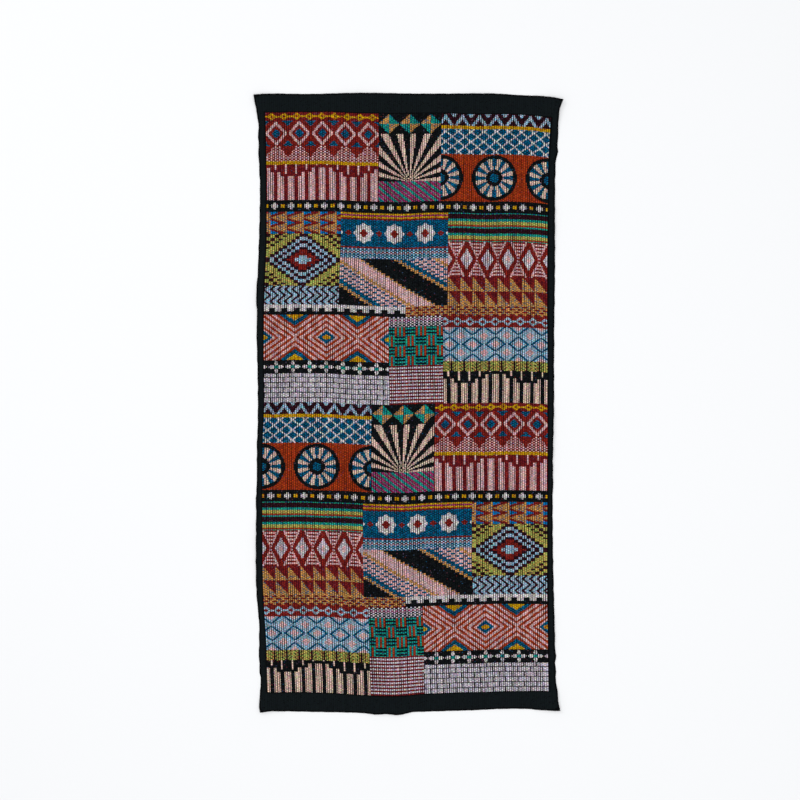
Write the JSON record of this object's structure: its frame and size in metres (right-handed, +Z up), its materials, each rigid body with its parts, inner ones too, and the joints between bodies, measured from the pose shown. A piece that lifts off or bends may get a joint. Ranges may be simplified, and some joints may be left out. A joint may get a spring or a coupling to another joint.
{
  "type": "length of brocade fabric",
  "caption": "Flat length of thick patterned brocade cloth with plain dark margins, lying face up with softly curled corners and edges.",
  "frame": {"origin": "middle of the underside's bounding box, on the surface that the cloth lies on", "axes": "+X across the cloth towards its right edge, +Y along its length towards its top edge, +Z up through its patterned face"},
  "size_m": [0.52, 1.042, 0.0077],
  "materials": {
    "brocade": "thick matt jacquard weave in many colours, with charcoal margins"
  },
  "bodies": {
    "root": {"brocade_cloth": "brocade"}
  },
  "joints": []
}
